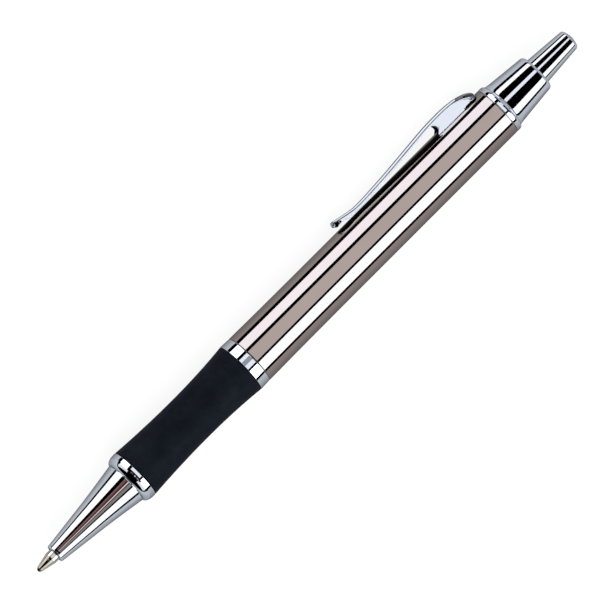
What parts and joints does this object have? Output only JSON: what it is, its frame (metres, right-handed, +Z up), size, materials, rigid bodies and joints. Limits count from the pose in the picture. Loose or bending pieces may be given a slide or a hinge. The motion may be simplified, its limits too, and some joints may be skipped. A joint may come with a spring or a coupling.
{
  "type": "retractable ballpoint pen",
  "caption": "Retractable ballpoint pen: metal barrel, rubber grip, pressed spring clip, click mechanism and spring-loaded refill inside.",
  "frame": {"origin": "centre of the lying pen's box, on the table it rests on", "axes": "+X along the pen towards the writing tip, +Z up from the table, the clip low on the -Y side"},
  "size_m": [0.14, 0.0133, 0.0108],
  "materials": {
    "chrome": "bright chrome plate on turned brass",
    "clip_chrome": "bright chrome plate on pressed spring steel",
    "barrel_metal": "mirror-bright warm grey-brown lacquer on a drawn metal tube",
    "grip_rubber": "matt blue-black moulded rubber",
    "brass": "turned brass",
    "nickel_silver": "turned nickel silver",
    "ball_carbide": "polished dark carbide, inked",
    "refill_steel": "satin steel tube",
    "spring_steel": "drawn spring wire",
    "grey_plastic": "moulded acetal",
    "white_plastic": "moulded acetal",
    "ink": "black oil-based ink paste"
  },
  "bodies": {
    "upper_section": {"upper_barrel": "barrel_metal", "threaded_insert": "brass", "top_ring": "chrome", "upper_cone": "chrome", "mechanism_housing": "white_plastic"},
    "clip": {"clip": "clip_chrome"},
    "plunger": {"push_button": "chrome", "cam_plunger": "grey_plastic"},
    "spring_carriage": {"return_spring": "spring_steel"},
    "front_section": {"nose_cone": "chrome", "front_collar": "chrome", "grip_sleeve": "grip_rubber", "lower_barrel": "brass", "centre_ring": "chrome"},
    "refill": {"refill_tube": "refill_steel", "refill_tip": "nickel_silver", "ink_column": "ink", "refill_end_plug": "grey_plastic"},
    "rotor": {"cam_rotor": "white_plastic"},
    "ball": {"tip_ball": "ball_carbide"}
  },
  "joints": [
    {"name": "button_press", "type": "slide", "parent": "upper_section", "child": "plunger", "axis": [1, 0, 0], "range_m": [-0.0055, 0.0015], "stiffness_N_per_m": 250},
    {"name": "refill_slide", "type": "slide", "parent": "spring_carriage", "child": "refill", "axis": [1, 0, 0], "range_m": [-0.0055, 0.0015], "deforming": ["return_spring"]},
    {"name": "section_turn", "type": "hinge", "parent": "spring_carriage", "child": "front_section", "pos_m": [0, 0.00118, 0.00541], "axis": [1, 0, 0], "range_deg": [0, 2520]},
    {"name": "section_travel", "type": "slide", "parent": "upper_section", "child": "spring_carriage", "axis": [1, 0, 0], "range_m": [0, 0.0053]},
    {"name": "clip_flex", "type": "hinge", "parent": "upper_section", "child": "clip", "pos_m": [-0.0491, -0.00332, 0.00322], "axis": [0, 0.439, -0.8985], "range_deg": [0, 4], "stiffness_Nm_per_rad": 3},
    {"name": "rotor_turn", "type": "hinge", "parent": "refill", "child": "rotor", "pos_m": [-0.0333, 0.00118, 0.00541], "axis": [1, 0, 0], "continuous": true},
    {"name": "ball_roll", "type": "hinge", "parent": "refill", "child": "ball", "pos_m": [0.0695, 0.00118, 0.00541], "axis": [0, 0.439, -0.8985], "continuous": true}
  ],
  "couplings": [
    {"joint": "refill_slide", "follows": "button_press", "ratio": 1},
    {"joint": "section_travel", "follows": "section_turn", "m_per_rad": 0.00011937}
  ]
}
